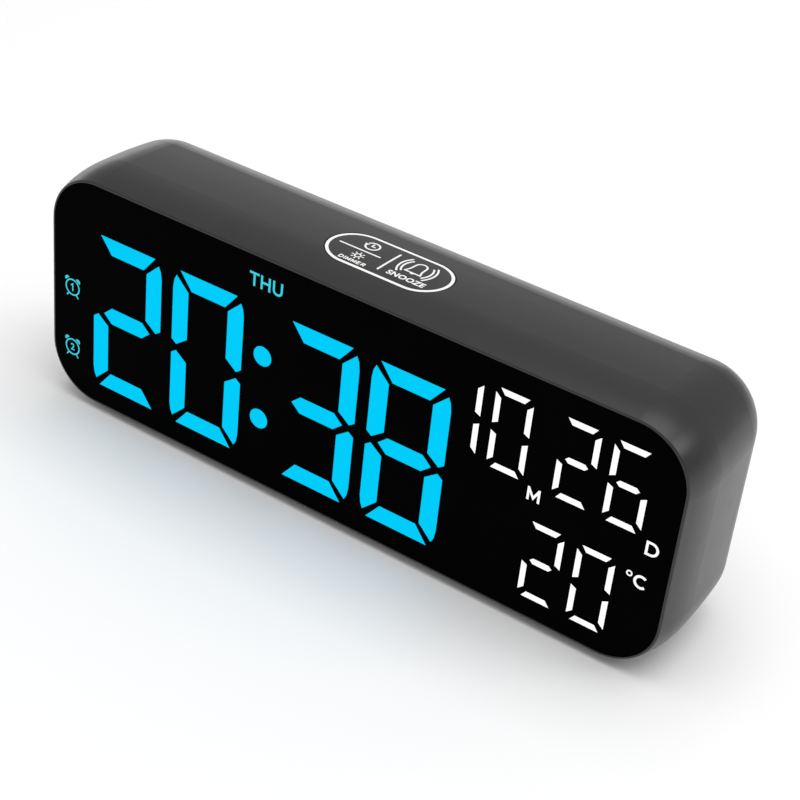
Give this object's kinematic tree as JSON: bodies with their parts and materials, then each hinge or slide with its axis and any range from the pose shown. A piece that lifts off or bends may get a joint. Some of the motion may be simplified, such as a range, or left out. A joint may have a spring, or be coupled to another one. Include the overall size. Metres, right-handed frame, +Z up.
{
  "type": "digital alarm clock",
  "caption": "Wide desk alarm clock in a rounded matt black case with a flush LED display for time, date and temperature and a rocker key on top.",
  "frame": {"origin": "middle of the footprint, on the surface the feet stand on", "axes": "+X along the clock's width to the right of someone reading it, -Y the way the display faces, +Z up"},
  "size_m": [0.165, 0.0388, 0.0609],
  "materials": {
    "case_plastic": "fine satin texture",
    "display_film": "smooth black printed film",
    "time_light": "lit cyan",
    "date_light": "lit white",
    "dark_window": "unlit smoked window",
    "lens_acrylic": "clear acrylic",
    "light_box_plastic": "white moulded",
    "circuit_board": "green solder mask",
    "led_chips": "resin",
    "screw_steel": "zinc plated",
    "black_screw": "black oxide",
    "cover_plastic": "spark-eroded texture",
    "button_plastic": "satin",
    "switch_plastic": "moulded black",
    "chip_plastic": "epoxy",
    "capacitor_can": "sleeved can",
    "crystal_can": "drawn can",
    "socket_steel": "stamped shell",
    "buzzer_plastic": "moulded black",
    "ribbon_plastic": "flat cable",
    "lead_plastic": "wire insulation",
    "contact_nickel": "nickel plated",
    "foot_rubber": "soft black"
  },
  "bodies": {
    "case": {"housing": "case_plastic", "front_film": "display_film", "time_windows": "time_light", "date_windows": "date_light", "dark_windows": "dark_window", "lens_plate": "lens_acrylic", "light_box": "light_box_plastic", "led_board": "circuit_board", "display_leds": "led_chips", "display_screws": "screw_steel", "key_pin": "screw_steel", "key_board": "circuit_board", "key_switches": "switch_plastic", "key_board_screws": "screw_steel", "rear_cover": "cover_plastic", "cover_screws": "black_screw", "rear_switches": "switch_plastic", "main_board": "circuit_board", "board_screws": "screw_steel", "controller_chip": "chip_plastic", "capacitors": "capacitor_can", "crystal": "crystal_can", "usb_socket": "socket_steel", "usb_tongue": "switch_plastic", "buzzer": "buzzer_plastic", "temperature_sensor": "chip_plastic", "ribbon_cable": "ribbon_plastic", "key_cable": "lead_plastic", "battery_leads": "lead_plastic", "battery_tray": "cover_plastic", "contact_plates": "contact_nickel", "contact_springs": "contact_nickel", "rubber_feet": "foot_rubber"},
    "rocker": {"snooze_key": "case_plastic"},
    "set_key": {"set_button": "button_plastic"},
    "alarm_key": {"alarm_button": "button_plastic"},
    "up_key": {"up_button": "button_plastic"},
    "down_key": {"down_button": "button_plastic"},
    "unit_key": {"unit_button": "button_plastic"},
    "door": {"battery_door": "cover_plastic"}
  },
  "joints": [
    {"name": "rocker_tilt", "type": "hinge", "parent": "case", "child": "rocker", "pos_m": [0.0003, -0.00485, 0.0575], "axis": [0, 1, 0], "range_deg": [-2, 2], "stiffness_Nm_per_rad": 0.12},
    {"name": "set_press", "type": "slide", "parent": "case", "child": "set_key", "axis": [0, -1, 0], "range_m": [0, 0.00035], "stiffness_N_per_m": 500},
    {"name": "alarm_press", "type": "slide", "parent": "case", "child": "alarm_key", "axis": [0, -1, 0], "range_m": [0, 0.00035], "stiffness_N_per_m": 500},
    {"name": "up_press", "type": "slide", "parent": "case", "child": "up_key", "axis": [0, -1, 0], "range_m": [0, 0.00035], "stiffness_N_per_m": 500},
    {"name": "down_press", "type": "slide", "parent": "case", "child": "down_key", "axis": [0, -1, 0], "range_m": [0, 0.00035], "stiffness_N_per_m": 500},
    {"name": "unit_press", "type": "slide", "parent": "case", "child": "unit_key", "axis": [0, -1, 0], "range_m": [0, 0.00035], "stiffness_N_per_m": 500},
    {"name": "door_lift", "type": "slide", "parent": "case", "child": "door", "axis": [0, 1, 0], "range_m": [0, 0.02]}
  ]
}
